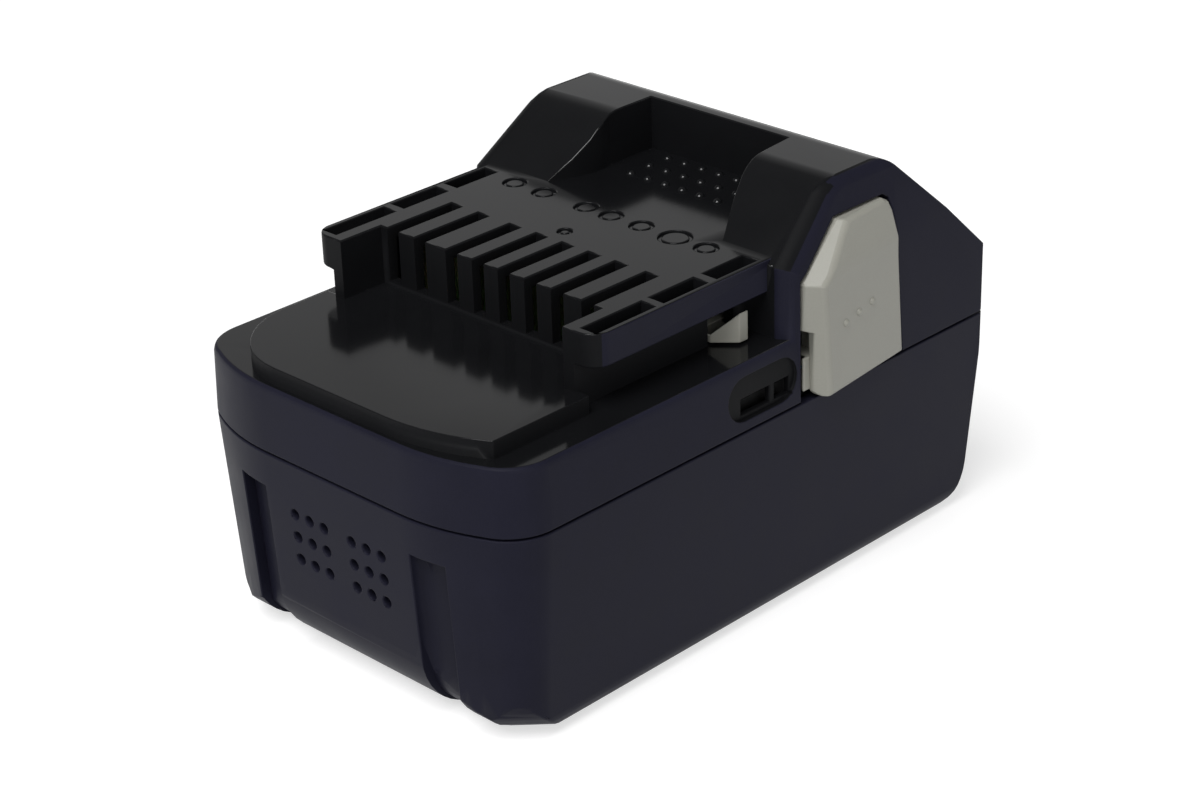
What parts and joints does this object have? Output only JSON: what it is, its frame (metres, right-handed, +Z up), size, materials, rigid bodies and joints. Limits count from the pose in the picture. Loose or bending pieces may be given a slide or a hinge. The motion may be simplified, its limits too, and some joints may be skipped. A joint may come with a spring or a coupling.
{
  "type": "power tool battery pack",
  "caption": "Slide-on cordless tool battery pack: black two-part case with rail neck, slotted terminal comb, rear hump with grip recess and sprung side latches.",
  "frame": {"origin": "middle of the case's base, on the surface that the pack stands on", "axes": "+X to the right across the width, +Y along the length away from the vent end, +Z up"},
  "size_m": [0.0818, 0.12, 0.0738],
  "materials": {
    "case": "satin black moulded",
    "latch_plastic": "pale olive grey moulded",
    "screw_steel": "zinc plated",
    "holder_plastic": "moulded",
    "cell_sleeve": "shrink sleeve",
    "nickel": "nickel strip",
    "paper": "black insulating fibre",
    "foam": "closed cell foam",
    "board": "lacquered board",
    "chip": "moulded",
    "contact_brass": "tinned edge",
    "copper": "flat lead",
    "resin": "dipped bead",
    "spring_steel": "bright wire"
  },
  "bodies": {
    "pack": {"board_pad": "foam", "case_screws": "screw_steel", "cell_1": "cell_sleeve", "cell_10": "cell_sleeve", "cell_2": "cell_sleeve", "cell_3": "cell_sleeve", "cell_4": "cell_sleeve", "cell_5": "cell_sleeve", "cell_6": "cell_sleeve", "cell_7": "cell_sleeve", "cell_8": "cell_sleeve", "cell_9": "cell_sleeve", "cell_holder_left": "holder_plastic", "cell_holder_right": "holder_plastic", "contact_1": "contact_brass", "contact_2": "contact_brass", "contact_3": "contact_brass", "contact_4": "contact_brass", "contact_5": "contact_brass", "contact_6": "contact_brass", "contact_7": "contact_brass", "contact_8": "contact_brass", "control_board": "board", "controller_chip": "chip", "insulator_left": "paper", "insulator_right": "paper", "latch_spring_left": "spring_steel", "latch_spring_right": "spring_steel", "lead_minus": "copper", "lead_plus": "copper", "lower_case": "case", "power_fets": "chip", "strip_12": "nickel", "strip_23": "nickel", "strip_34": "nickel", "strip_45": "nickel", "strip_minus": "nickel", "strip_plus": "nickel", "thermistor": "resin", "upper_case": "case"},
    "left_latch": {"latch_left": "latch_plastic"},
    "right_latch": {"latch_right": "latch_plastic"}
  },
  "joints": [
    {"name": "press_right", "type": "slide", "parent": "pack", "child": "right_latch", "axis": [-1, 0, 0], "range_m": [0, 0.0038], "stiffness_N_per_m": 600, "springref_m": -0.004, "deforming": ["latch_spring_right"]},
    {"name": "press_left", "type": "slide", "parent": "pack", "child": "left_latch", "axis": [1, 0, 0], "range_m": [0, 0.0038], "stiffness_N_per_m": 600, "springref_m": -0.004, "deforming": ["latch_spring_left"]}
  ]
}
